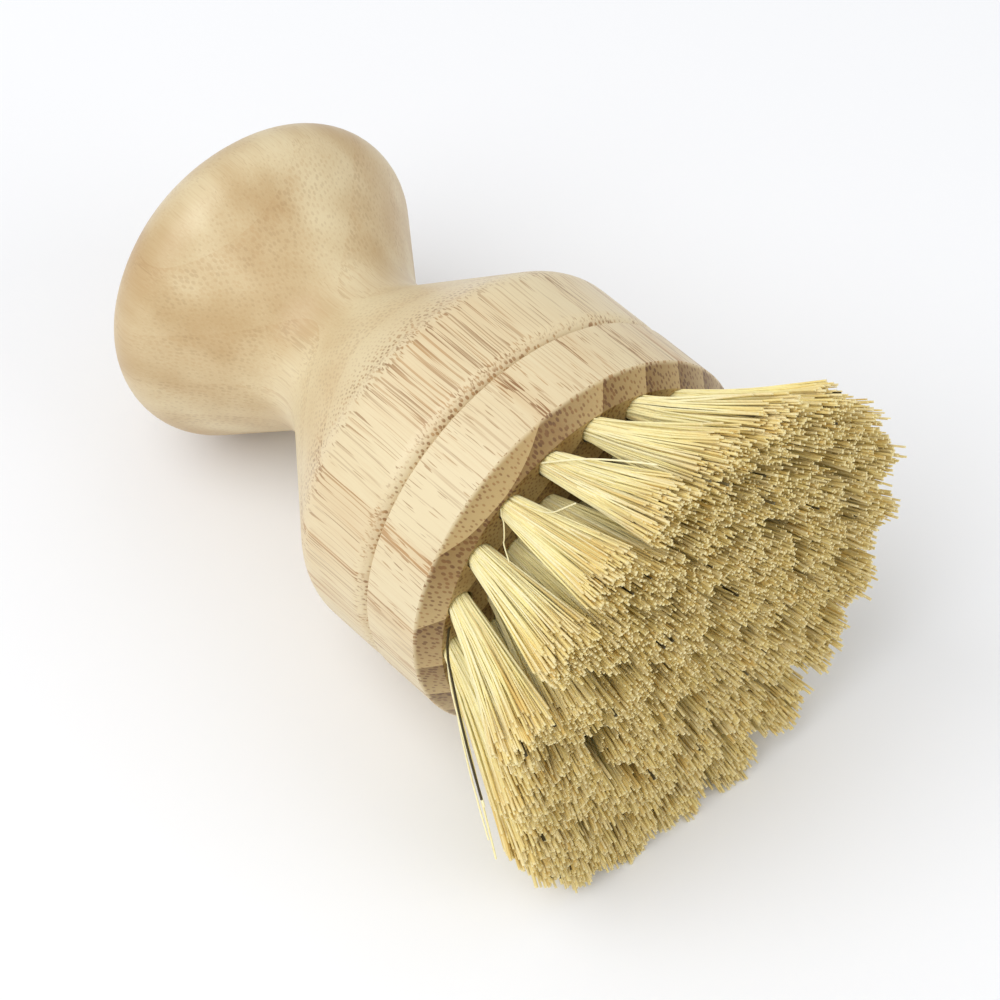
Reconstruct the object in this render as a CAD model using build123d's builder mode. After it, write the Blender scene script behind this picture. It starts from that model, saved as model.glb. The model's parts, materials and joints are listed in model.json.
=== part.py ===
from build123d import *
import os
from math import asin, atan2, cos, degrees, exp, hypot, radians, sin

# A short round dish brush: a turned bamboo handle, a bamboo block with four rings of holes,
# and a tuft of plant fibre anchored in each hole. It lies on its side, as it was photographed.
# The floor is z = 0, the fibres point along +X and the origin is under the middle of the brush.
# Along the brush's own axis, stations count from the joint of handle and block, the groove,
# and are positive towards the fibres. Lengths are millimetres.

# Handle
handle_radius = 27.4          # straight band next to the groove
band_length = 11.2            # from the arc that leads into it to the groove
band_arc_radius = 5.6
taper_angle = 36.0            # slope from the waist out to the band
waist_radius = 12.9
waist_arc_radius = 8.1
flare_angle = 35.3            # slope from the waist out to the knob
knob_radius = 23.9
knob_rim_radius = 6.75
knob_cap_radius = 30.8        # the domed end
groove_round_radius = 3.0     # the handle's rounded edge at the groove
spigot_radius = 14.0
spigot_length = 2.2

# Block
block_radius = 27.5
block_height = 12.0
block_edge_chamfer = 0.25     # the crisp edge at the groove
face_chamfer_reach = 2.4      # measured across the face
face_chamfer_height = 2.8     # measured along the side
socket_clearance = 0.1        # round the spigot and past its end

# Tufts and their holes
hole_radius = 1.9
hole_depth = 8.0
tuft_clearance = 0.08
ring_radii = [23.0, 16.4, 9.95, 4.1]
ring_counts = [20, 16, 10, 4]
ring_turns = [-3.0, 24.5, 8.0, 30.0]  # angle of each ring's first tuft, from straight up
free_length = 22.4            # face to trimmed tips
hole_fan_share = 0.30         # how far the holes open out towards the tips, of the ring's radius
spread_narrow_share = 0.22    # the same for the fibres, across the narrow way of their oval
spread_wide_share = 0.437     # and across its wide way
wide_way_angle = -38.5        # direction of the wide way, from straight up
tuft_opening_share = 0.55     # how much a tuft opens out of its own root, past the spread
lean_reach = 5.6              # how far the tips of the tuft that leans most are pushed over
lean_from_angle = 86.4        # where on the outer ring it stands, from straight up
lean_way_angle = 141.4        # and the way it leans
lean_width = 9.2              # how far round it the lean has nearly died away
floor_reach = 28.3            # the middle of a tuft that hangs lower is pressed up by the floor
floor_softness = 0.5          # and ends no more than this below it
floor_flat_depth = 0.5        # depth of the flat that the fibres rest on

# Strands that stand for a tuft's fibres: one in the middle, the others round it
strands_round = 8
strand_width = 0.66
strand_tip_width = 1.3
strand_ring_radius = 1.12
strand_sink = 1.2             # how far below the face a strand joins its root

# Anchor wires, one across each hole near its bottom
anchor_width = 1.5            # along the hole
anchor_thickness = 0.35
anchor_bite = 0.3             # how far each end goes into the bamboo
anchor_floor = 0.8            # from the hole's bottom to the wire
anchor_clearance = 0.02


# The handle's outline, worked out from the knob's end to the groove
cap_half_angle = asin((knob_radius - knob_rim_radius) / (knob_cap_radius - knob_rim_radius))
flare = radians(flare_angle)
taper = radians(taper_angle)
rim_centre_radius = knob_radius - knob_rim_radius
rim_centre_depth = knob_cap_radius - (knob_cap_radius - knob_rim_radius) * cos(cap_half_angle)
flare_start_radius = rim_centre_radius + knob_rim_radius * cos(flare)
flare_end_radius = waist_radius + waist_arc_radius * (1 - cos(flare))
flare_length = (flare_start_radius - flare_end_radius) / sin(flare)
taper_start_radius = waist_radius + waist_arc_radius * (1 - cos(taper))
taper_end_radius = handle_radius - band_arc_radius * (1 - cos(taper))
taper_length = (taper_end_radius - taper_start_radius) / sin(taper)
handle_length = (
    rim_centre_depth
    + knob_rim_radius * sin(flare)
    + flare_length * cos(flare)
    + waist_arc_radius * (sin(flare) + sin(taper))
    + taper_length * cos(taper)
    + band_arc_radius * sin(taper)
    + band_length
)
rim_station = rim_centre_depth - handle_length
cap_centre_station = knob_cap_radius - handle_length
tip_station = block_height + free_length


def turned(x, y, angle):
    """A point turned about the brush's axis."""
    a = radians(angle)
    return x * cos(a) - y * sin(a), x * sin(a) + y * cos(a)


def spread(x, y):
    """Where the fibres that start at (x, y) on the face end, before the floor presses them."""
    wide, narrow = turned(x, y, -wide_way_angle)
    return turned(wide * (1 + spread_wide_share), narrow * (1 + spread_narrow_share), wide_way_angle)


def root_places():
    """The middle of each tuft's mouth on the face, with the name of its node."""
    places = []
    for ring, (radius, count, turn) in enumerate(zip(ring_radii, ring_counts, ring_turns), start=1):
        for place in range(count):
            x, y = turned(radius, 0, turn + 360 * place / count)
            places.append((f"tuft_ring{ring}_{place + 1:02d}", x, y))
    return places


def strand_places():
    """Where each strand of a tuft stands, counted from the tuft's middle, and its turn."""
    places = [(0, 0, 0)]
    for place in range(strands_round):
        angle = 360 * place / strands_round
        places.append((*turned(strand_ring_radius, 0, angle), angle))
    return places


def unpressed_tip(x, y, dx, dy):
    """The tip, in the trimmed plane, of the strand that starts (dx, dy) from its tuft's middle."""
    opening = 1 + tuft_opening_share
    up, across = spread(x + dx * opening, y + dy * opening)
    lean_x, lean_y = turned(ring_radii[0], 0, lean_from_angle)
    lean = lean_reach * exp(-((hypot(x - lean_x, y - lean_y) / lean_width) ** 2))
    lean_up, lean_across = turned(lean, 0, lean_way_angle)
    return up + lean_up, across + lean_across


def floor_lift(x, y):
    """How far the floor has pressed up the tips of a tuft."""
    excess = -unpressed_tip(x, y, 0, 0)[0] - floor_reach
    if excess < 0:
        return 0
    return excess - floor_softness * (1 - exp(-excess / floor_softness))


def tip(x, y, dx, dy):
    """The same tip once the floor has pressed the lower tufts up."""
    up, across = unpressed_tip(x, y, dx, dy)
    return up + floor_lift(x, y), across


def tip_corners(x, y, dx, dy, angle):
    """The four corners of a strand's cut end."""
    up, across = tip(x, y, dx, dy)
    half = strand_tip_width / 2
    corners = [turned(*corner, angle) for corner in ((-half, -half), (half, -half), (half, half), (-half, half))]
    return [(up + corner_up, across + corner_across) for corner_up, corner_across in corners]


def tuft_corners(x, y):
    """The corners of all the cut ends of a tuft."""
    return [corner for dx, dy, angle in strands for corner in tip_corners(x, y, dx, dy, angle)]


roots = root_places()
strands = strand_places()
tips = [corner for _, x, y in roots for corner in tuft_corners(x, y)]
rest_radius = max(-up for up, _ in tips) - floor_flat_depth

# The floor touches the knob's rim and the flat on the fibres, which gives the tilt of the axis
rest_run = tip_station - rim_station
rest_rise = rest_radius - rim_centre_radius
tilt = atan2(rest_rise, rest_run) - asin(knob_rim_radius / hypot(rest_run, rest_rise))
joint_height = knob_rim_radius + rim_centre_radius * cos(tilt) - rim_station * sin(tilt)
front = tip_station * cos(tilt) + rest_radius * sin(tilt)
back = cap_centre_station * cos(tilt) - knob_cap_radius
left = max(across for _, across in tips)
right = min(across for _, across in tips)
brush = Plane(
    origin=(-(front + back) / 2, (left + right) / 2, joint_height),
    x_dir=(-sin(tilt), 0, cos(tilt)),
    z_dir=(cos(tilt), 0, sin(tilt)),
)
outline_plane = Plane(origin=brush.origin, x_dir=brush.x_dir, z_dir=-brush.y_dir)
print("tilt", round(degrees(tilt), 3), "joint", brush.origin, "handle length", round(handle_length, 3))
print("rest radius", round(rest_radius, 3), "strands", len(roots) * len(strands), "tufts", len(roots))


def hole_plane(x, y):
    """The plane across a hole at its mouth, facing out of the hole."""
    mouth = brush.from_local_coords((x, y, block_height))
    aim = brush.from_local_coords((x * (1 + hole_fan_share), y * (1 + hole_fan_share), tip_station))
    around = brush.from_local_coords((x - y, y + x, block_height)) - mouth
    return Plane(origin=mouth, x_dir=around, z_dir=aim - mouth)


def write(part, name):
    """Labels a finished piece and writes its file."""
    part.label = name
    export_step(part, f"parts/{name}.step")


os.makedirs("parts", exist_ok=True)

# Handle: knob, waist and band in one turned piece, with the spigot that centres the block
with BuildPart() as handle:
    with BuildSketch(outline_plane):
        with BuildLine():
            end = (0, -handle_length)
            cap = JernArc(end, (1, 0), knob_cap_radius, degrees(cap_half_angle))
            rim = JernArc(cap @ 1, cap % 1, knob_rim_radius, 90 + flare_angle - degrees(cap_half_angle))
            flare_line = PolarLine(rim @ 1, flare_length, direction=rim % 1)
            waist = JernArc(flare_line @ 1, rim % 1, waist_arc_radius, -flare_angle - taper_angle)
            taper_line = PolarLine(waist @ 1, taper_length, direction=waist % 1)
            shoulder = JernArc(taper_line @ 1, waist % 1, band_arc_radius, taper_angle)
            band = Line(shoulder @ 1, (handle_radius, -groove_round_radius))
            edge = JernArc(band @ 1, (0, 1), groove_round_radius, 90)
            Polyline(
                edge @ 1,
                (spigot_radius, 0),
                (spigot_radius, spigot_length),
                (0, spigot_length),
                end,
            )
        make_face()
    revolve(axis=Axis(brush.origin, brush.z_dir))
write(handle.part, "handle")

# Block: a disc with a chamfered face, a socket for the spigot and a hole for each tuft
with BuildPart() as block_holes:
    for _, x, y in roots:
        mouth_plane = hole_plane(x, y)
        overrun = hole_radius * (1 + hole_fan_share)
        with BuildSketch(mouth_plane.offset(-hole_depth)):
            Circle(hole_radius)
        extrude(amount=hole_depth + overrun)
        with BuildSketch(mouth_plane.offset(-hole_depth + anchor_floor)):
            Rectangle(2 * (hole_radius + anchor_bite), anchor_thickness + 2 * anchor_clearance)
        extrude(amount=anchor_width)

with BuildPart() as bristle_block:
    with BuildSketch(outline_plane):
        with BuildLine():
            socket_radius = spigot_radius + socket_clearance
            socket_depth = spigot_length + socket_clearance
            face_radius = block_radius - face_chamfer_reach
            Polyline(
                (0, socket_depth),
                (socket_radius, socket_depth),
                (socket_radius, 0),
                (block_radius - block_edge_chamfer, 0),
                (block_radius, block_edge_chamfer),
                (block_radius, block_height - face_chamfer_height),
                (face_radius, block_height),
                (0, block_height),
                close=True,
            )
        make_face()
    revolve(axis=Axis(brush.origin, brush.z_dir))
    add(block_holes.part, mode=Mode.SUBTRACT)
write(bristle_block.part, "bristle_block")

# Anchor wires: a flat wire across each hole, over which the tuft's fibres are folded
with BuildPart() as anchor_wires:
    for _, x, y in roots:
        wire_plane = hole_plane(x, y).offset(-hole_depth + anchor_floor + anchor_clearance)
        with BuildSketch(wire_plane):
            Rectangle(2 * (hole_radius + anchor_bite - anchor_clearance), anchor_thickness)
        extrude(amount=anchor_width - 2 * anchor_clearance)
write(anchor_wires.part, "anchor_wires")


def strand(x, y, dx, dy, angle):
    """One straight strand from inside the tuft's root to the trimmed plane."""
    sunk = 1 - strand_sink * hole_fan_share / free_length
    with BuildPart() as piece:
        with BuildSketch(brush.offset(block_height - strand_sink)):
            with Locations((x * sunk + dx, y * sunk + dy)):
                Rectangle(strand_width, strand_width, rotation=angle)
        with BuildSketch(brush.offset(tip_station)):
            with Locations(tip(x, y, dx, dy)):
                Rectangle(strand_tip_width, strand_tip_width, rotation=angle)
        loft(ruled=True)
    return piece.part


# Tufts: the bound root that fills the hole, with its strands, cut flat where it meets the floor
for name, x, y in roots:
    fibres = [strand(x, y, dx, dy, angle) for dx, dy, angle in strands]
    root_plane = hole_plane(x, y).offset(-hole_depth + tuft_clearance)
    slot_base = anchor_floor - tuft_clearance - anchor_clearance
    with BuildPart() as tuft:
        with BuildSketch(root_plane):
            Circle(hole_radius - tuft_clearance)
        extrude(amount=hole_depth - tuft_clearance)
        with BuildSketch(root_plane.offset(slot_base)):
            Rectangle(2 * hole_radius, anchor_thickness + 4 * anchor_clearance)
        extrude(amount=anchor_width + 2 * anchor_clearance, mode=Mode.SUBTRACT)
        add(fibres)
        if min(up for up, _ in tuft_corners(x, y)) < -rest_radius:
            split(bisect_by=Plane.XY, keep=Keep.TOP)
    write(tuft.part, name)
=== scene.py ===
import json
from math import cos, pi, radians, sin

import bpy
from bpy.props import FloatProperty, FloatVectorProperty, IntProperty, PointerProperty
from mathutils import Matrix, Vector


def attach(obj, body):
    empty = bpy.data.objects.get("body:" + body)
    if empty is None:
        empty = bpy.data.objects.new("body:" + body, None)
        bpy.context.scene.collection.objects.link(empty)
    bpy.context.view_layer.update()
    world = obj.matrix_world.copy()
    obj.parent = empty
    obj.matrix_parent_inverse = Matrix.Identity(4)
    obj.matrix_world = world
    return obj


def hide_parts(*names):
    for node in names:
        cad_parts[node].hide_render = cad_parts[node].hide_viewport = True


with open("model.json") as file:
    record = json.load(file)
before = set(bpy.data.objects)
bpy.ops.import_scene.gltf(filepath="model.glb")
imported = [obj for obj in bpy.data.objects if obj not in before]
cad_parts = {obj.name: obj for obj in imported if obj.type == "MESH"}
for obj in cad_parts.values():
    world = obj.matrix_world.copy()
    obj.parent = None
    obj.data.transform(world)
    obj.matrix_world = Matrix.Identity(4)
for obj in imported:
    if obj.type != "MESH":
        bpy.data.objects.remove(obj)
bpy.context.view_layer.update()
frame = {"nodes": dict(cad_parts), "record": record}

bl_info = {
    "name": "Dish brush",
    "version": (1, 0, 0),
    "blender": (4, 5, 0),
    "location": "View3D > Sidebar > Dish brush",
    "description": "Dresses the dish brush in bamboo and plant fibre, and sets its stage",
    "category": "Object",
}

MM = 0.001

# The rings of tufts, the outer one first: radius on the face in millimetres, how many tufts, and
# the first tuft's angle from straight up in degrees
RINGS = [(23.0, 20, -3.0), (16.4, 16, 24.5), (9.95, 10, 8.0), (4.1, 4, 30.0)]

# How far single tufts' tips stand off the even spread, in millimetres: up, across and along
PUSHES = {
    "ring1_06": (0.6, -3.7, 0.0),
    "ring1_07": (-0.4, -2.8, 0.0),
    "ring1_08": (-0.8, -1.2, 0.2),
    "ring3_05": (-0.4, 1.2, 0.4),
    "ring3_06": (-1.6, -1.6, -0.8),
    "ring4_01": (0.6, 1.2, 0.4),
    "ring4_03": (-1.0, -0.9, -1.0),
    "ring4_04": (0.9, -1.7, 0.2),
}

# Loose fibres, by the tuft that they stand away from: shade, width, and the places that pull the
# fibre to them, all lengths in millimetres: up, across and along
LOOSE = {
    "ring1_03": [
        (0.7, 0.16, ((20.1, 13.7, 11.5), (20.8, 15.2, 13.5), (23.6, 16.8, 16.0), (23.0, 18.5, 18.0),
                     (25.1, 19.9, 19.5), (24.7, 21.1, 22.0))),
        (0.9, 0.20, ((20.3, 12.4, 11.5), (22.3, 12.3, 16.0), (25.2, 13.0, 20.0), (30.4, 13.9, 24.0),
                     (33.6, 14.2, 26.5))),
    ],
    "ring1_02": [
        (0.9, 0.30, ((23.0, 7.4, 11.5), (24.3, 7.2, 13.0), (29.0, 4.7, 20.0), (32.6, 2.7, 28.0))),
        (0.8, 0.26, ((22.8, 6.8, 11.5), (26.5, 4.2, 20.0), (31.3, 2.9, 30.0))),
    ],
    "ring1_05": [
        (1.0, 0.32, ((5.6, 22.8, 11.5), (4.6, 25.2, 13.0), (5.7, 29.5, 20.0), (5.1, 33.6, 27.0),
                     (4.4, 37.2, 34.0))),
        (0.8, 0.28, ((5.2, 23.0, 11.5), (4.0, 26.0, 14.0), (3.6, 31.0, 22.0), (2.0, 36.6, 33.6))),
    ],
    "ring1_06": [
        (0.5, 0.26, ((0.3, 23.4, 11.5), (-0.6, 26.6, 16.0), (-3.0, 31.4, 25.0), (-8.4, 36.2, 34.4))),
        (0.8, 0.24, ((0.0, 23.6, 11.5), (-0.6, 27.6, 17.0), (-2.4, 33.4, 27.0), (-4.6, 36.6, 33.8))),
    ],
}

# The brush's own frame: up, across and along its axis, from the groove between handle and block
scrubbing_end = next(mount for mount in frame["record"]["mounts"] if mount["name"] == "scrubbing_end")
along_way = Vector(scrubbing_end["axis"])
up_way = Vector((-along_way.z, 0, along_way.x))
across_way = along_way.cross(up_way)
brush_turn = Matrix((up_way, across_way, along_way)).transposed()


def turned(length, angle):
    """A length laid off at an angle from straight up, as up, across and along."""
    return (length * cos(radians(angle)), length * sin(radians(angle)), 0)


# Property groups


class BrushSizes(bpy.types.PropertyGroup):
    """Sizes of the block and its tufts."""

    face_station: FloatProperty(name="Face", description="From the groove to the block's face",
                                default=12.0 * MM, unit="LENGTH")
    free_length: FloatProperty(name="Free fibre", description="From the face to the trimmed tips",
                               default=22.4 * MM, unit="LENGTH")
    bundle_radius: FloatProperty(name="Bundle", description="Radius of a tuft where it leaves its hole",
                                 default=1.55 * MM, unit="LENGTH")
    sink: FloatProperty(name="Sink", description="How far below the face the fibres start",
                        default=1.2 * MM, unit="LENGTH")
    fibre_width: FloatProperty(name="Fibre", description="Mean width of a fibre",
                               default=0.36 * MM, unit="LENGTH")
    fibre_count: IntProperty(name="Fibres", description="Fibres in a tuft", default=520, min=1)
    hole_fan: FloatProperty(name="Hole fan", description="How far the holes open out, of their ring",
                            default=0.30)
    spread_narrow: FloatProperty(name="Narrow spread", description="Spread across the oval's narrow way",
                                 default=0.17)
    spread_wide: FloatProperty(name="Wide spread", description="Spread across the oval's wide way",
                               default=0.437)
    wide_angle: FloatProperty(name="Wide way", description="Direction of the wide way, from straight up",
                              default=-38.5)
    opening: FloatProperty(name="Opening", description="How much a tuft opens out past the spread",
                           default=0.76)
    lean_reach: FloatProperty(name="Lean", description="How far the tuft that leans most is pushed over",
                              default=5.6 * MM, unit="LENGTH")
    lean_from_angle: FloatProperty(name="Lean from", description="Where that tuft stands", default=86.4)
    lean_way_angle: FloatProperty(name="Lean way", description="The way it leans", default=141.4)
    lean_width: FloatProperty(name="Lean width", description="How far round it the lean dies away",
                              default=9.2 * MM, unit="LENGTH")
    floor_reach: FloatProperty(name="Floor reach", description="Tufts that hang lower are pressed up",
                               default=28.0 * MM, unit="LENGTH")
    floor_softness: FloatProperty(name="Floor softness", description="How softly they are pressed",
                                  default=0.8 * MM, unit="LENGTH")


class WoodFinish(bpy.types.PropertyGroup):
    """Colours and scales of the bamboo."""

    pale: FloatVectorProperty(name="Pale wood", description="Wood between the bundles",
                              default=(0.79, 0.67, 0.43), subtype="COLOR", size=3)
    # Tan also gives the knob its painted shade
    tan: FloatVectorProperty(name="Tan wood", description="Darker strips and patches",
                             default=(0.68, 0.50, 0.28), subtype="COLOR", size=3)
    bundle: FloatVectorProperty(name="Bundles", description="Brown fibre bundles",
                                default=(0.30, 0.155, 0.06), subtype="COLOR", size=3)
    amber: FloatVectorProperty(name="Amber bundles", description="Lighter, more orange bundles",
                               default=(0.50, 0.29, 0.12), subtype="COLOR", size=3)
    end_pale: FloatVectorProperty(name="Pale end grain", description="What end grain takes from the colour",
                                  default=(0.66, 0.56, 0.39), subtype="COLOR", size=3)
    end_dense: FloatVectorProperty(name="Dense end grain", description="The same among many bundles",
                                   default=(0.34, 0.25, 0.12), subtype="COLOR", size=3)
    knob_tone: FloatVectorProperty(name="Knob tone", description="What the knob takes from the colour",
                                   default=(0.80, 0.75, 0.66), subtype="COLOR", size=3)
    pitch: FloatProperty(name="Bundle pitch", description="From one bundle to the next",
                         default=0.64 * MM, unit="LENGTH")
    streak: FloatProperty(name="Streak length", description="Length of a bundle's stretch",
                          default=26.0 * MM, unit="LENGTH")
    strip_width: FloatProperty(name="Strip width", description="Width of a glued strip",
                               default=19.0 * MM, unit="LENGTH")


class FibreFinish(bpy.types.PropertyGroup):
    """Colours of the plant fibre."""

    ochre: FloatVectorProperty(name="Ochre", description="The darkest of the common fibres",
                               default=(0.78, 0.55, 0.18), subtype="COLOR", size=3)
    straw: FloatVectorProperty(name="Straw", description="Most of the fibres",
                               default=(0.98, 0.88, 0.42), subtype="COLOR", size=3)
    pale: FloatVectorProperty(name="Pale", description="The palest fibres",
                              default=(0.99, 0.92, 0.58), subtype="COLOR", size=3)
    dark: FloatVectorProperty(name="Dark", description="The odd dark fibre",
                              default=(0.06, 0.045, 0.018), subtype="COLOR", size=3)


class StageSettings(bpy.types.PropertyGroup):
    """The camera, the lamps and the floor."""

    lens: FloatProperty(name="Lens", description="Focal length on a 36 mm sensor, in millimetres",
                        default=122.61)
    elevation: FloatProperty(name="Elevation", description="How far the camera looks down", default=52.4915)
    heading: FloatProperty(name="Heading", description="Which way it looks, from +Y towards -X",
                           default=49.0909)
    distance: FloatProperty(name="Distance", description="From the camera to its aim",
                            default=440.49 * MM, unit="LENGTH")
    aim: FloatVectorProperty(name="Aim", description="The point at the middle of the picture",
                             default=(13.333 * MM, -0.842 * MM, 28.392 * MM), subtype="TRANSLATION", size=3)
    floor_colour: FloatVectorProperty(name="Floor", description="Colour of the floor",
                                      default=(0.93, 0.93, 0.94), subtype="COLOR", size=3)
    seen_floor: FloatVectorProperty(name="Seen floor", description="The same where the camera sees it",
                                    default=(0.925, 0.935, 0.958), subtype="COLOR", size=3)
    floor_reach: FloatProperty(name="Floor reach", description="Half the floor's width",
                               default=2.0, unit="LENGTH")
    sky: FloatProperty(name="Sky", description="Strength of the light from all round", default=0.62)
    key: FloatProperty(name="Key", description="Power of the large soft lamp, in watts", default=5.7)
    fill: FloatProperty(name="Fill", description="Power of the lamp on the fibres' side, in watts",
                        default=1.2)


def sizes():
    return bpy.context.scene.dish_brush_sizes


def wood():
    return bpy.context.scene.dish_brush_wood


def fibre():
    return bpy.context.scene.dish_brush_fibre


def stage():
    return bpy.context.scene.dish_brush_stage


def joint():
    """The middle of the groove, in the row's frame."""
    return Vector(scrubbing_end["pos_m"]) - along_way * (sizes().face_station + sizes().free_length)


# Node trees, written as sums


class Field:
    """A value inside a node tree, for use in sums."""

    def __init__(self, tree, socket):
        self.tree = tree
        self.socket = socket

    def __add__(self, other):
        return self.tree.sum("ADD", self, other)

    __radd__ = __add__

    def __sub__(self, other):
        return self.tree.sum("SUBTRACT", self, other)

    def __rsub__(self, other):
        return self.tree.sum("SUBTRACT", other, self)

    def __mul__(self, other):
        return self.tree.sum("MULTIPLY", self, other)

    __rmul__ = __mul__

    def __truediv__(self, other):
        return self.tree.sum("DIVIDE", self, other)

    def __neg__(self):
        return self * -1.0


def is_vector(value):
    """Whether a field or a plain value has three parts."""
    if isinstance(value, Field):
        return value.socket.type == "VECTOR"
    return not isinstance(value, (int, float))


class Tree:
    """A node tree under construction."""

    def __init__(self, nodes):
        self.nodes = nodes

    def feed(self, value, socket):
        """Gives a socket a field or a plain value."""
        if isinstance(value, Field):
            self.nodes.links.new(value.socket, socket)
        else:
            socket.default_value = value

    def node(self, kind, inputs=None, output=0, **settings):
        """A new node, given its settings and inputs. Inputs are keyed by name or place."""
        made = self.nodes.nodes.new(kind)
        for key, value in settings.items():
            setattr(made, key, value)
        for key, value in (inputs or {}).items():
            self.feed(value, made.inputs[key])
        return Field(self, made.outputs[output]) if len(made.outputs) else made

    def outputs(self, field):
        """The other outputs of the node that a field comes from."""
        return {socket.name: Field(self, socket) for socket in field.socket.node.outputs}

    def sum(self, operation, a, b):
        """Adds, subtracts, multiplies or divides numbers or vectors."""
        if not is_vector(a) and not is_vector(b):
            return self.maths(operation, a, b)
        if operation == "MULTIPLY" and is_vector(a) != is_vector(b):
            vector, scale = (a, b) if is_vector(a) else (b, a)
            return self.node("ShaderNodeVectorMath", {0: vector, "Scale": scale}, operation="SCALE")
        return self.node("ShaderNodeVectorMath", {0: a, 1: b}, operation=operation)

    def maths(self, operation, *values, clamp=False):
        """One operation on numbers, kept between 0 and 1 if clamped."""
        return self.node("ShaderNodeMath", dict(enumerate(values)), operation=operation, use_clamp=clamp)

    def dot(self, a, b):
        """How far one vector reaches along another."""
        return self.node("ShaderNodeVectorMath", {0: a, 1: b}, output="Value", operation="DOT_PRODUCT")

    def length(self, a):
        """The length of a vector."""
        return self.node("ShaderNodeVectorMath", {0: a}, output="Value", operation="LENGTH")

    def combine(self, x, y, z):
        """A vector from its three parts."""
        return self.node("ShaderNodeCombineXYZ", {0: x, 1: y, 2: z})

    def separate(self, vector):
        """The three parts of a vector."""
        x = self.node("ShaderNodeSeparateXYZ", {0: vector})
        return x, self.outputs(x)["Y"], self.outputs(x)["Z"]

    def step(self, value, start, end, low=0.0, high=1.0):
        """Goes smoothly from low to high while the value goes from start to end."""
        inputs = {"Value": value, 1: start, 2: end, 3: low, 4: high}
        return self.node("ShaderNodeMapRange", inputs, interpolation_type="SMOOTHSTEP")

    def mix(self, share, a, b):
        """From a to b, in step with the share."""
        return a + (b - a) * share


def colour(tree, share, a, b, blend="MIX"):
    """Mixes two colours, each a field or a plain colour."""
    a = a if isinstance(a, Field) else (*a, 1)
    b = b if isinstance(b, Field) else (*b, 1)
    return tree.node("ShaderNodeMix", {0: share, 6: a, 7: b}, output=2, data_type="RGBA", blend_type=blend)


def new_material(name, surface):
    """A new material with its tree and its shader. Surface holds the shader's plain values."""
    material = bpy.data.materials.new(name)
    material.use_nodes = True
    shader = material.node_tree.nodes["Principled BSDF"]
    for key, value in surface.items():
        shader.inputs[key].default_value = value
    return material, Tree(material.node_tree), shader


# Materials

# How fast the bamboo's patterns change, per millimetre up, across and along
SWAY_SCALE = (0.05, 0.05, 0.03)
LINE_SCALE = 4.0
DASH_SCALE = 4.4
FINE_SCALE = (4.5, 4.5, 0.09)
PATCH_SCALE = (0.09, 0.09, 0.05)
TONE_SCALE = (0.6, 0.6, 0.05)

# The same for the other materials. The floor's is per metre
FIBRE_SCALE = (3.0, 3.0, 0.6)
WIRE_SCALE = (2.0, 2.0, 9.0)
FLOOR_SCALE = (3.0, 3.0, 3.0)

NOISE_MIDDLE = Vector((0.5, 0.5, 0.5))
SWAY = Vector((1.6, 1.6, 0.0))          # how far the grain wanders, in millimetres
DASH_SHIFT = Vector((7.0, 3.0, 5.0))    # keeps the short streaks off the long ones
STRIP_STAGGER = 0.37                    # how far each layer's joints are moved on, in strips

# The bamboo's marks. A pair goes from where bundles are few to where they are dense
DOT_RADIUS = (0.19, 0.35)               # in pitches
DOT_SOFTNESS = 0.06
DOT_STRENGTH = (0.62, 0.95)
LINE_START = (0.60, 0.51)               # how high the noise is where a streak begins
LINE_SOFTNESS = 0.12
LINE_STRENGTH = (0.30, 0.75)
DASH_START = (0.70, 0.61)
DASH_SOFTNESS = 0.06
DASH_STRENGTH = (0.65, 0.9)
STRIP_DENSITY = 0.7                     # the least that a strip has at its outer side
STRIP_DENSITY_LUCK = 0.6                # and what chance adds at most
VEIN_DENSITY = 1.25
TONE_RANGE = (0.35, 0.65)               # the noise between brown marks and amber ones
END_GRAIN = (0.42, 0.64)                # how squarely the grain is cut where streaks turn to dots
FAINT_STRENGTH = 0.30
FAINT_FADE = 6.0                        # millimetres from faint marks to clear ones
KNOB_STATIONS = (-45.0, -12.0)          # from where the knob's look, with its painted shade, is full to where it is gone
END_FADE = 0.3                          # millimetres each way, at the edge of the darker end tone

# What makes the bamboo tan, and the painted shade on the knob, as shares
TAN_EVERYWHERE = 0.08
TAN_BY_GRAIN = 0.9
TAN_BY_PATCH = 1.1
TAN_BY_STRIP = 0.15
TAN_BY_DENSITY = 0.30
KNOB_PAINTED_SHADE = 0.36                         # more of it on the knob: painted shade, the knob darker where less light reaches it
KNOB_PATCHINESS = 1.4                   # and in stronger patches
KNOB_PATCH_RANGE = (0.25, 0.70, 0.15, 1.0)    # the noise from its weak patches to its strong ones
GRAIN_HEIGHT = 0.35
BUNDLE_DEPTH = 0.6

WIRE_DARK = (0.50, 0.49, 0.46)
WIRE_LIGHT = (0.66, 0.65, 0.62)
CLOUD_TONE = 0.985                      # the floor's darker clouds, as a share of its colour


def brush_place(tree):
    """The place on the brush in millimetres: up, across, and along from the groove."""
    place = tree.node("ShaderNodeTexCoord", output="Object")
    turn = brush_turn.to_euler()
    inputs = {"Vector": place, "Location": joint(), "Rotation": turn, "Scale": (MM, MM, MM)}
    return tree.node("ShaderNodeMapping", inputs, vector_type="TEXTURE")


def noise(tree, place, scale, detail=2.0, roughness=0.5, output="Fac"):
    """Noise over a place, stretched by a scale in each direction."""
    inputs = {"Vector": place * Vector(scale), "Scale": 1.0, "Detail": detail, "Roughness": roughness}
    return tree.node("ShaderNodeTexNoise", inputs, output=output)


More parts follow.
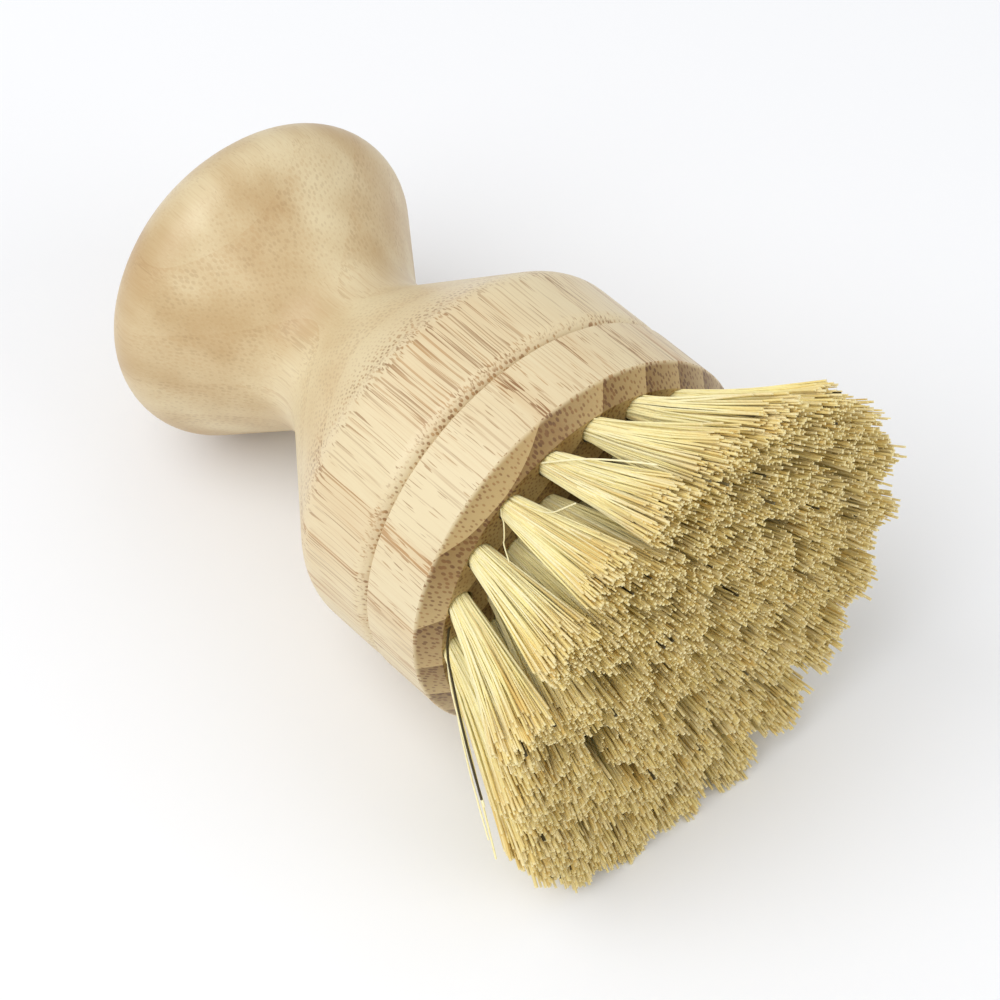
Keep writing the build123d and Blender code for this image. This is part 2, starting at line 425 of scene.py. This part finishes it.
def bamboo(name, strip_angle, strip_edge, strip_thickness, shift, bare_end, faint_end, dash, veins=()):
    """Glued strips of bamboo along the brush's axis, with more bundles at each strip's outer side.

    In millimetres and degrees. Outer sides face strip_angle, and one lies strip_edge from the
    axis. Shift moves the piece in the grain, and dash is the length of a short streak. Stations
    count from the groove: end grain is darker past bare_end, and marks are faint before
    faint_end. Veins are brown streaks along the piece: their bearing and half width.
    """
    surface = {"Roughness": 0.42, "Specular IOR Level": 0.45, "Coat Weight": 0.12, "Coat Roughness": 0.28}
    material, tree, shader = new_material(name, surface)
    finish = wood()
    place = brush_place(tree) + Vector(shift)
    sway = noise(tree, place, SWAY_SCALE, output="Color")
    place = place + (sway - NOISE_MIDDLE) * SWAY

    # Which strip it is, how near its outer side, and how dense the bundles are there
    grain = place - Vector(shift)
    outward = turned(1.0, strip_angle)
    sideways = turned(1.0, strip_angle + 90.0)
    depth = (tree.dot(grain, outward) - strip_edge) / strip_thickness
    layer = tree.maths("FLOOR", depth)
    across = tree.dot(grain, sideways) / (finish.strip_width / MM)
    strip = tree.combine(layer, tree.maths("FLOOR", across + layer * STRIP_STAGGER), shift[0])
    chance = tree.node("ShaderNodeTexWhiteNoise", {"Vector": strip}, output="Value", noise_dimensions="3D")
    skin = tree.maths("FRACT", depth)
    density = skin * skin * skin * (STRIP_DENSITY + chance * STRIP_DENSITY_LUCK)
    up, side, station = tree.separate(brush_place(tree))
    bearing = tree.maths("ARCTAN2", side, up)
    for vein, half_width in veins:
        off = tree.maths("ABSOLUTE", bearing - radians(vein))
        vein_density = tree.step(off, radians(half_width) * 0.5, radians(half_width), VEIN_DENSITY, 0.0)
        density = tree.maths("MAXIMUM", density, vein_density)
    normal = tree.node("ShaderNodeTexCoord", output="Normal")
    end_share = tree.step(tree.maths("ABSOLUTE", tree.dot(normal, along_way)), *END_GRAIN)

    def streaks_in(pattern, start, softness, strength):
        """Streaks where a pattern is high: more of them, and stronger, where bundles are dense."""
        start = tree.mix(density, *start)
        return tree.step(pattern, start, start + softness) * tree.mix(density, *strength)

    # Bundles: dots where the grain is cut across, streaks where it is cut along
    flat = place * Vector((MM / finish.pitch, MM / finish.pitch, 0.0))
    inputs = {"Vector": flat, "Scale": 1.0, "Randomness": 0.7}
    distance = tree.node("ShaderNodeTexVoronoi", inputs, output="Distance", voronoi_dimensions="2D")
    radius = tree.mix(skin, *DOT_RADIUS)
    dots = (1.0 - tree.step(distance, radius - DOT_SOFTNESS, radius + DOT_SOFTNESS)) * end_share
    lines = noise(tree, place, (LINE_SCALE, LINE_SCALE, MM / finish.streak), detail=0.0)
    lines = streaks_in(lines, LINE_START, LINE_SOFTNESS, LINE_STRENGTH)
    dashes = noise(tree, place + DASH_SHIFT, (DASH_SCALE, DASH_SCALE, 1.0 / dash), detail=0.0)
    dashes = streaks_in(dashes, DASH_START, DASH_SOFTNESS, DASH_STRENGTH)
    streaks = tree.maths("MAXIMUM", lines, dashes) * (1.0 - end_share)
    clear = tree.step(station, faint_end - FAINT_FADE, faint_end, FAINT_STRENGTH, 1.0)
    bundles = tree.maths("MAXIMUM", dots * tree.mix(skin, *DOT_STRENGTH), streaks) * clear

    # Tan in fine grain, in wide patches and in dense strips, and more on the knob as painted shade
    fine = noise(tree, place, FINE_SCALE, detail=3.0, roughness=0.6)
    patch = noise(tree, place, PATCH_SCALE)
    knob_share = tree.step(station, *KNOB_STATIONS, 1.0, 0.0)
    grainy = (fine - 0.5) * TAN_BY_GRAIN
    patchy = (patch - 0.5) * (knob_share * KNOB_PATCHINESS + TAN_BY_PATCH)
    by_strip = (chance * TAN_BY_STRIP + density * TAN_BY_DENSITY) * clear
    # The knob's extra tan is painted shade: darker there, where less light reaches it
    tan_and_shade_share = grainy + patchy + by_strip + knob_share * KNOB_PAINTED_SHADE + TAN_EVERYWHERE
    base = colour(tree, tree.maths("ADD", tan_and_shade_share, 0.0, clamp=True), finish.pale, finish.tan)
    knob_patches = knob_share * tree.step(patch, *KNOB_PATCH_RANGE)
    base = colour(tree, knob_patches, base, finish.knob_tone, blend="MULTIPLY")

    # The bundles over it, and the darker tone of the cut ends
    tone = noise(tree, place, TONE_SCALE)
    mark = colour(tree, tree.step(tone, *TONE_RANGE), finish.bundle, finish.amber)
    base = colour(tree, bundles, base, mark)
    near_end = tree.step(station, bare_end - END_FADE, bare_end + END_FADE)
    end_tone = colour(tree, skin, finish.end_pale, finish.end_dense)
    base = colour(tree, end_share * near_end, base, end_tone, blend="MULTIPLY")
    tree.feed(base, shader.inputs["Base Color"])

    # Fine grain stands up a little, and the bundles lie a little below it
    height = fine * GRAIN_HEIGHT - bundles * BUNDLE_DEPTH
    inputs = {"Strength": 0.25, "Distance": 0.1 * MM, "Height": height}
    tree.feed(tree.node("ShaderNodeBump", inputs, output="Normal"), shader.inputs["Normal"])
    return material


def plant_fibre():
    """Stiff straw-coloured fibre, a different shade for each, with paler cut ends."""
    surface = {"Roughness": 0.5, "Specular IOR Level": 0.25}
    material, tree, shader = new_material("plant_fibre", surface)
    finish = fibre()
    shade = tree.node("ShaderNodeAttribute", output="Fac", attribute_name="shade")
    along = tree.node("ShaderNodeAttribute", output="Fac", attribute_name="along")
    streaks = noise(tree, brush_place(tree), FIBRE_SCALE)
    base = colour(tree, tree.step(shade, -0.05, 0.22), finish.ochre, finish.straw)
    layers = [
        (tree.step(shade, 0.30, 0.95), finish.pale),                # the palest fibres
        (tree.step(streaks, 0.40, 0.75) * 0.30, finish.ochre),      # streaks along the fibres
        (tree.step(along, 0.35, 0.80, 0.35, 0.0), finish.pale),     # painted light: paler towards the root, lifting the shade between the stems
        (tree.step(along, 0.66, 0.97) * 0.42, finish.ochre),        # darker towards the tip
        (tree.step(along, 0.985, 0.998) * 0.35, finish.pale),       # the cut end
        (tree.step(shade, 0.994, 0.996), finish.dark),              # the odd dark fibre
    ]
    for share, tone in layers:
        base = colour(tree, share, base, tone)
    tree.feed(base, shader.inputs["Base Color"])
    return material


def steel():
    """Plain flat wire."""
    material, tree, shader = new_material("anchor_wire", {"Metallic": 1.0, "Roughness": 0.35})
    grain = noise(tree, brush_place(tree), WIRE_SCALE)
    tree.feed(colour(tree, grain, WIRE_DARK, WIRE_LIGHT), shader.inputs["Base Color"])
    return material


def floor_material():
    """A plain pale floor that keeps the brush's shadow."""
    material, tree, shader = new_material("floor", {"Roughness": 0.9, "Specular IOR Level": 0.0})
    place = tree.node("ShaderNodeTexCoord", output="Object")
    cloud = noise(tree, place, FLOOR_SCALE, detail=1.0)
    pale = stage().floor_colour
    paper = colour(tree, cloud, pale, [part * CLOUD_TONE for part in pale])
    rays = tree.outputs(tree.node("ShaderNodeLightPath"))
    seen = rays["Is Camera Ray"] + rays["Is Glossy Ray"]
    seen = tree.maths("ADD", seen, rays["Is Transmission Ray"], clamp=True)
    tree.feed(colour(tree, seen, paper, stage().seen_floor), shader.inputs["Base Color"])
    return material


def dress(node, material):
    """Gives a CAD node its material."""
    mesh = frame["nodes"][node].data
    mesh.materials.clear()
    mesh.materials.append(material)


# Tufts

# Which random draw decides what. A way on the face takes two of them
DRAWS = {
    "spot": 1,
    "tuft way": 3,
    "opening": 5,
    "tip way": 6,
    "short": 8,
    "shorter": 9,
    "bow": 10,
    "width": 12,
    "shade": 13,
    "turn": 17,
    "tuft length": 20,
}
WHOLE_TUFT = 0               # the item that a draw for a whole tuft is made for
SEEDS_PER_RING = 100

# How uneven the fibres are, in millimetres
SPOT_SHAKE = 0.08            # a fibre's place in its hole
TUFT_SHIFT = 0.85            # the tips of a whole tuft
TIP_SHAKE = 0.32             # the tip of one fibre
CLUMP_SHIFT = 2.6            # the tips of a clump
BOW = 0.30                   # the middle of a fibre
SHORT = 3.8                  # the most that a fibre is cut short
SHORTER = 2.4                # and what a few are cut shorter still
TUFT_LENGTH = (-0.9, 0.4)    # how a whole tuft's length varies
RAGGED = 3.2                 # how a clump's length varies
RAGGED_MIDDLE = 0.25
RAGGED_MOST = 0.1

# The same, as shares and powers
GOLDEN_ANGLE = pi * (3 - 5 ** 0.5)
LARGEST_TURN = 6.3           # radians, about a full turn
CROWDING = 0.42              # under a half, fibres crowd the rim of their hole
OPENING_LUCK = (0.93, 1.07)
WIDTH_LUCK = (0.62, 1.34)
SHORT_POWER = 1.2            # the higher, the rarer a short fibre
SHORTER_POWER = 14.0
CLUMP_SCALE = 900.0          # how fast clumps change over a hole, per metre
CLUMP_SEED_STEP = 1.7

# The shape of a fibre
LINE_POINTS = 5
POINT_STEP = 0.331           # puts the last two points close together at the tip
FLARE_POWER = 1.10           # a fibre bends outwards towards its tip
ROOT_WIDTH = 0.72            # width at the root, as a share of the width at the tip
FLOOR_CLEARANCE = 0.3        # millimetres from the floor to a fibre's middle line
LOOSE_ALONG = 0.5            # a loose fibre is shaded like the middle of the others


def tuft_inputs():
    """The sizes that the tuft tree takes, by the name of its input."""
    s = sizes()
    return {
        "Fibres": s.fibre_count,
        "Fibre width": s.fibre_width,
        "Bundle radius": s.bundle_radius,
        "Face": s.face_station,
        "Free length": s.free_length,
        "Sink": s.sink,
        "Hole fan": s.hole_fan,
        "Opening": s.opening,
        "Narrow spread": s.spread_narrow,
        "Wide spread": s.spread_wide,
        "Wide way": turned(1.0, s.wide_angle),
        "Lean": turned(s.lean_reach, s.lean_way_angle),
        "Lean from": turned(RINGS[0][0] * MM, s.lean_from_angle),
        "Lean width": s.lean_width,
        "Floor reach": s.floor_reach,
        "Floor softness": s.floor_softness,
        "Joint": joint(),
        "Up": up_way,
        "Across": across_way,
        "Along": along_way,
    }


def socket_kind(value):
    """The kind of input that takes a value."""
    if isinstance(value, int):
        return "NodeSocketInt"
    return "NodeSocketVector" if is_vector(value) else "NodeSocketFloat"


def tuft_tree(material):
    """Geometry nodes that turn the mouths of the holes into tufts of fibres."""
    group = bpy.data.node_groups.new("tuft_fibres", "GeometryNodeTree")
    group.interface.new_socket("Geometry", in_out="INPUT", socket_type="NodeSocketGeometry")
    for name, value in tuft_inputs().items():
        group.interface.new_socket(name, in_out="INPUT", socket_type=socket_kind(value))
    group.interface.new_socket("Push", in_out="INPUT", socket_type="NodeSocketVector")
    group.interface.new_socket("Seed", in_out="INPUT", socket_type="NodeSocketInt")
    group.interface.new_socket("Geometry", in_out="OUTPUT", socket_type="NodeSocketGeometry")
    tree = Tree(group)
    mouths = tree.node("NodeGroupInput")
    given = tree.outputs(mouths)

    def luck(low, high, draw, item, part=0):
        """A random number for each item, the same on every run."""
        inputs = {2: low, 3: high, "ID": item, "Seed": given["Seed"] + float(DRAWS[draw] + part)}
        return tree.node("FunctionNodeRandomValue", inputs, output=1, data_type="FLOAT")

    def lucky_way(reach, draw, item):
        """A random offset on the face for each item."""
        up, across = (luck(-1.0, 1.0, draw, item, part) for part in (0, 1))
        return tree.combine(up, across, 0.0) * reach

    def spread(place):
        """Where the fibres that start at a place on the face end."""
        wide = tree.dot(place, given["Wide way"])
        extra = given["Wide spread"] - given["Narrow spread"]
        return place * (given["Narrow spread"] + 1.0) + given["Wide way"] * (wide * extra)

    def stored(geometry, name, value, kind="FLOAT"):
        """The geometry with a value kept on its points."""
        inputs = {"Geometry": geometry, "Name": name, 3: value}
        return tree.node("GeometryNodeStoreNamedAttribute", inputs, data_type=kind, domain="POINT")

    def named(name, kind="FLOAT"):
        """A value that is kept on the points."""
        return tree.node("GeometryNodeInputNamedAttribute", {"Name": name}, data_type=kind)

    # One point for each fibre, at the tuft's mouth
    points = tree.node("GeometryNodeMeshToPoints", {"Mesh": mouths})
    inputs = {"Geometry": points, "Amount": given["Fibres"]}
    fibres = tree.node("GeometryNodeDuplicateElements", inputs, domain="POINT")
    number = tree.outputs(fibres)["Duplicate Index"]
    item = tree.node("GeometryNodeInputIndex")
    mouth = tree.node("GeometryNodeInputPosition")

    # Where the fibre stands in its hole: a sunflower's spiral, shaken a little
    radius = tree.maths("POWER", (number + 0.5) / given["Fibres"], CROWDING) * given["Bundle radius"]
    angle = number * GOLDEN_ANGLE + luck(0.0, LARGEST_TURN, "turn", WHOLE_TUFT)
    spot = tree.combine(tree.maths("COSINE", angle), tree.maths("SINE", angle), 0.0) * radius
    spot = spot + lucky_way(SPOT_SHAKE * MM, "spot", item)

    # Where the middle of the tuft's tips is: spread, lean and the floor's push
    away = tree.length(mouth - given["Lean from"]) / given["Lean width"]
    lean = given["Lean"] * tree.maths("EXPONENT", -(away * away))
    middle = spread(mouth) + lean + lucky_way(TUFT_SHIFT * MM, "tuft way", WHOLE_TUFT) + given["Push"]
    excess = tree.maths("MAXIMUM", -tree.separate(middle)[0] - given["Floor reach"], 0.0)
    softness = given["Floor softness"]
    softened = softness * (1.0 - tree.maths("EXPONENT", -(excess / softness)))
    lift = tree.combine(excess - softened, 0.0, 0.0)

    # Where the fibre's own tip is, with the clump that it belongs to
    open_share = given["Opening"] + luck(*OPENING_LUCK, "opening", WHOLE_TUFT)
    inputs = {"Vector": (mouth + spot) * CLUMP_SCALE, "W": given["Seed"] * CLUMP_SEED_STEP,
              "Scale": 1.0, "Detail": 1.0}
    clump = tree.node("ShaderNodeTexNoise", inputs, output="Color", noise_dimensions="4D")
    clump = clump - NOISE_MIDDLE
    tip = middle + lift + spread(spot * open_share)
    tip = tip + lucky_way(TIP_SHAKE * MM, "tip way", item) + clump * (CLUMP_SHIFT * MM)
    tuft_length = luck(TUFT_LENGTH[0] * MM, TUFT_LENGTH[1] * MM, "tuft length", WHOLE_TUFT)
    short = tree.maths("POWER", luck(0.0, 1.0, "short", item), SHORT_POWER) * SHORT * MM - tuft_length
    shorter = tree.maths("POWER", luck(0.0, 1.0, "shorter", item), SHORTER_POWER) * SHORTER * MM
    ragged = tree.separate(clump)[2] * (RAGGED * MM) - RAGGED_MIDDLE * MM
    ragged = tree.maths("MINIMUM", ragged, RAGGED_MOST * MM)
    tip_station = given["Face"] + given["Free length"] - short - shorter + ragged
    tip = tree.combine(*tree.separate(tip)[:2], tip_station + tree.separate(given["Push"])[2])

    # Where it starts, and what each fibre keeps
    sunk = 1.0 - given["Sink"] * given["Hole fan"] / given["Free length"]
    root = tree.combine(*tree.separate(mouth * sunk + spot)[:2], given["Face"] - given["Sink"])
    kept = {"root": root, "reach": tip - root, "bow": lucky_way(BOW * MM, "bow", item)}
    for name, value in kept.items():
        fibres = stored(fibres, name, value, "FLOAT_VECTOR")
    fibres = stored(fibres, "width", given["Fibre width"] * luck(*WIDTH_LUCK, "width", item))
    fibres = stored(fibres, "shade", luck(0.0, 1.0, "shade", item))

    # A curve along each fibre, with its last two points close together for the cut end
    line = tree.node("GeometryNodeCurvePrimitiveLine", {"Start": (0, 0, 0), "End": (0, 0, 1)})
    line = tree.node("GeometryNodeResampleCurve", {"Curve": line, "Count": LINE_POINTS})
    curves = tree.node("GeometryNodeInstanceOnPoints", {"Points": fibres, "Instance": line})
    curves = tree.node("GeometryNodeRealizeInstances", {"Geometry": curves})
    step_number = tree.outputs(tree.node("GeometryNodeSplineParameter"))["Index"]
    curves = stored(curves, "along", tree.maths("MINIMUM", step_number * POINT_STEP, 1.0))
    share = named("along")
    flare = tree.maths("POWER", share, FLARE_POWER)
    reach_x, reach_y, reach_z = tree.separate(named("reach", "FLOAT_VECTOR"))
    bow = named("bow", "FLOAT_VECTOR") * (share * (1.0 - share) * 4.0)
    reached = tree.combine(reach_x * flare, reach_y * flare, reach_z * share)
    x, y, z = tree.separate(named("root", "FLOAT_VECTOR") + reached + bow)
    place = given["Joint"] + given["Up"] * x + given["Across"] * y + given["Along"] * z
    place_x, place_y, place_z = tree.separate(place)
    place = tree.combine(place_x, place_y, tree.maths("MAXIMUM", place_z, FLOOR_CLEARANCE * MM))
    curves = tree.node("GeometryNodeSetPosition", {"Geometry": curves, "Position": place})

    # Four-sided fibres with closed ends
    profile = tree.node("GeometryNodeCurvePrimitiveCircle", {"Resolution": 4, "Radius": 0.5})
    scale = named("width") * tree.mix(share, ROOT_WIDTH, 1.0)
    inputs = {"Curve": curves, "Profile Curve": profile, "Scale": scale, "Fill Caps": True}
    mesh = tree.node("GeometryNodeCurveToMesh", inputs)
    mesh = tree.node("GeometryNodeSetShadeSmooth", {"Geometry": mesh, "Shade Smooth": True})
    mesh = tree.node("GeometryNodeRealizeInstances", {"Geometry": mesh})
    mesh = tree.node("GeometryNodeSetMaterial", {"Geometry": mesh, "Material": material})
    tree.node("NodeGroupOutput", {0: mesh})
    return group


def mesh_object(name, verts, faces=()):
    """A new object with a mesh of its own, linked to the scene."""
    mesh = bpy.data.meshes.new(name)
    mesh.from_pydata([tuple(v) for v in verts], [], faces)
    made = bpy.data.objects.new(name, mesh)
    bpy.context.scene.collection.objects.link(made)
    return made


def settle(made):
    """Turns an object's modifiers into a plain mesh."""
    depsgraph = bpy.context.evaluated_depsgraph_get()
    mesh = bpy.data.meshes.new_from_object(made.evaluated_get(depsgraph))
    mesh.name = made.name
    made.modifiers.clear()
    made.data = mesh


def loose_fibre(shade, width, places, material):
    """A single fibre through the places given, closed at both ends."""
    curve = bpy.data.curves.new("loose_fibre", "CURVE")
    curve.dimensions = "3D"
    curve.bevel_depth = width * MM / 2
    curve.bevel_resolution = 0
    curve.use_fill_caps = True
    curve.resolution_u = 4
    spline = curve.splines.new("NURBS")
    spline.points.add(len(places) - 1)
    for point, (up, across, along) in zip(spline.points, places):
        place = joint() + (up_way * up + across_way * across + along_way * along) * MM
        point.co = (*place, 1)
    spline.use_endpoint_u = True
    spline.order_u = 3
    guide = bpy.data.objects.new("loose_fibre", curve)
    mesh = bpy.data.meshes.new_from_object(guide)
    bpy.data.objects.remove(guide)
    mesh.materials.clear()
    mesh.materials.append(material)
    for name, value in (("shade", shade), ("along", LOOSE_ALONG)):
        mesh.attributes.new(name, "FLOAT", "POINT").data.foreach_set("value", [value] * len(mesh.vertices))
    made = bpy.data.objects.new("loose_fibre", mesh)
    bpy.context.scene.collection.objects.link(made)
    return made


def ring_of_tufts(group, material, ring, radius, count, turn):
    """One ring of tufts, each a piece in place of its CAD node."""
    sockets = {item.name: item.identifier for item in group.interface.items_tree if item.in_out == "INPUT"}
    for place in range(count):
        name = f"ring{ring}_{place + 1:02d}"
        piece = mesh_object(f"fibres_{name}", [turned(radius, turn + 360 * place / count)])
        modifier = piece.modifiers.new("Fibres", "NODES")
        modifier.node_group = group
        push = [part * MM for part in PUSHES.get(name, (0, 0, 0))]
        inputs = {**tuft_inputs(), "Push": push, "Seed": ring * SEEDS_PER_RING + place}
        for socket, value in inputs.items():
            modifier[sockets[socket]] = list(value) if is_vector(value) else value
        settle(piece)
        loose = [loose_fibre(*row, material) for row in LOOSE.get(name, [])]
        if loose:
            with bpy.context.temp_override(active_object=piece, selected_editable_objects=[piece, *loose]):
                bpy.ops.object.join()
        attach(piece, "root")
        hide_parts(f"tuft_{name}")


# Operators

# The lamps are discs: width and place, in metres
KEY_WIDTH = 1.0
KEY_PLACE = (-0.10, -0.54, 0.84)
FILL_WIDTH = 0.6
FILL_PLACE = (0.70, 0.26, 0.52)
SENSOR_WIDTH = 36    # in millimetres


class DISHBRUSH_OT_handle(bpy.types.Operator):
    """Gives the handle its bamboo"""

    bl_idname = "dishbrush.handle"
    bl_label = "Handle"

    def execute(self, context):
        material = bamboo("bamboo_handle", strip_angle=15.0, strip_edge=27.6, strip_thickness=7.4,
                          shift=(3.7, 9.1, 0.4), bare_end=20.0, faint_end=-14.0, dash=12.0)
        dress("handle", material)
        return {"FINISHED"}


class DISHBRUSH_OT_block(bpy.types.Operator):
    """Gives the block its bamboo"""

    bl_idname = "dishbrush.block"
    bl_label = "Block"

    def execute(self, context):
        material = bamboo("bamboo_block", strip_angle=33.8, strip_edge=25.3, strip_thickness=5.8,
                          shift=(11.3, 2.6, 5.2), bare_end=9.4, faint_end=-20.0, dash=3.5,
                          veins=((8.0, 3.0), (59.0, 3.5)))
        dress("bristle_block", material)
        return {"FINISHED"}


class DISHBRUSH_OT_wires(bpy.types.Operator):
    """Gives the anchor wires inside the holes their steel"""

    bl_idname = "dishbrush.wires"
    bl_label = "Anchor wires"

    def execute(self, context):
        dress("anchor_wires", steel())
        return {"FINISHED"}


class DISHBRUSH_OT_tufts(bpy.types.Operator):
    """Makes the four rings of plant-fibre tufts"""

    bl_idname = "dishbrush.tufts"
    bl_label = "Tufts"

    def execute(self, context):
        material = plant_fibre()
        group = tuft_tree(material)
        for ring, (radius, count, turn) in enumerate(RINGS, start=1):
            ring_of_tufts(group, material, ring, radius * MM, count, turn)
        return {"FINISHED"}


class DISHBRUSH_OT_stage(bpy.types.Operator):
    """Sets the floor, the lamps and the camera"""

    bl_idname = "dishbrush.stage"
    bl_label = "Stage"

    def execute(self, context):
        s = stage()
        scene = context.scene
        reach = s.floor_reach
        corners = [(-reach, -reach, 0), (reach, -reach, 0), (reach, reach, 0), (-reach, reach, 0)]
        floor = mesh_object("floor", corners, [(0, 1, 2, 3)])
        floor.data.materials.append(floor_material())
        scene.world = bpy.data.worlds.new("studio")
        scene.world.use_nodes = True
        background = scene.world.node_tree.nodes["Background"]
        background.inputs["Color"].default_value = (1, 1, 1, 1)
        background.inputs["Strength"].default_value = s.sky
        lamps = [("key", s.key, KEY_WIDTH, KEY_PLACE), ("fill", s.fill, FILL_WIDTH, FILL_PLACE)]
        for name, power, width, place in lamps:
            lamp = bpy.data.lights.new(name, "AREA")
            lamp.energy = power
            lamp.shape = "DISK"
            lamp.size = width
            light = bpy.data.objects.new(name, lamp)
            light.location = place
            light.rotation_euler = (-light.location).to_track_quat("-Z", "Y").to_euler()
            scene.collection.objects.link(light)
        camera = bpy.data.objects.new("camera", bpy.data.cameras.new("camera"))
        camera.data.lens = s.lens
        camera.data.sensor_width = SENSOR_WIDTH
        camera.rotation_euler = (radians(90 - s.elevation), 0, radians(s.heading))
        back = camera.rotation_euler.to_matrix() @ Vector((0, 0, 1))
        camera.location = Vector(s.aim) + back * s.distance
        scene.collection.objects.link(camera)
        scene.camera = camera
        scene.view_settings.view_transform = "Standard"
        return {"FINISHED"}


class DISHBRUSH_PT_panel(bpy.types.Panel):
    """Lists the brush's operators"""

    bl_label = "Dish brush"
    bl_idname = "DISHBRUSH_PT_panel"
    bl_space_type = "VIEW_3D"
    bl_region_type = "UI"
    bl_category = "Dish brush"

    def draw(self, context):
        for operator in OPERATORS:
            self.layout.operator(operator.bl_idname)


GROUPS = {
    "dish_brush_sizes": BrushSizes,
    "dish_brush_wood": WoodFinish,
    "dish_brush_fibre": FibreFinish,
    "dish_brush_stage": StageSettings,
}
OPERATORS = [
    DISHBRUSH_OT_handle,
    DISHBRUSH_OT_block,
    DISHBRUSH_OT_wires,
    DISHBRUSH_OT_tufts,
    DISHBRUSH_OT_stage,
]


def register():
    for cls in [*GROUPS.values(), *OPERATORS, DISHBRUSH_PT_panel]:
        bpy.utils.register_class(cls)
    for name, cls in GROUPS.items():
        setattr(bpy.types.Scene, name, PointerProperty(type=cls))


def unregister():
    for name in GROUPS:
        delattr(bpy.types.Scene, name)
    for cls in [DISHBRUSH_PT_panel, *OPERATORS, *GROUPS.values()]:
        bpy.utils.unregister_class(cls)


def main():
    """Makes the whole scene."""
    register()
    bpy.ops.dishbrush.handle()
    bpy.ops.dishbrush.block()
    bpy.ops.dishbrush.wires()
    bpy.ops.dishbrush.tufts()
    bpy.ops.dishbrush.stage()


if __name__ == "__main__":
    main()
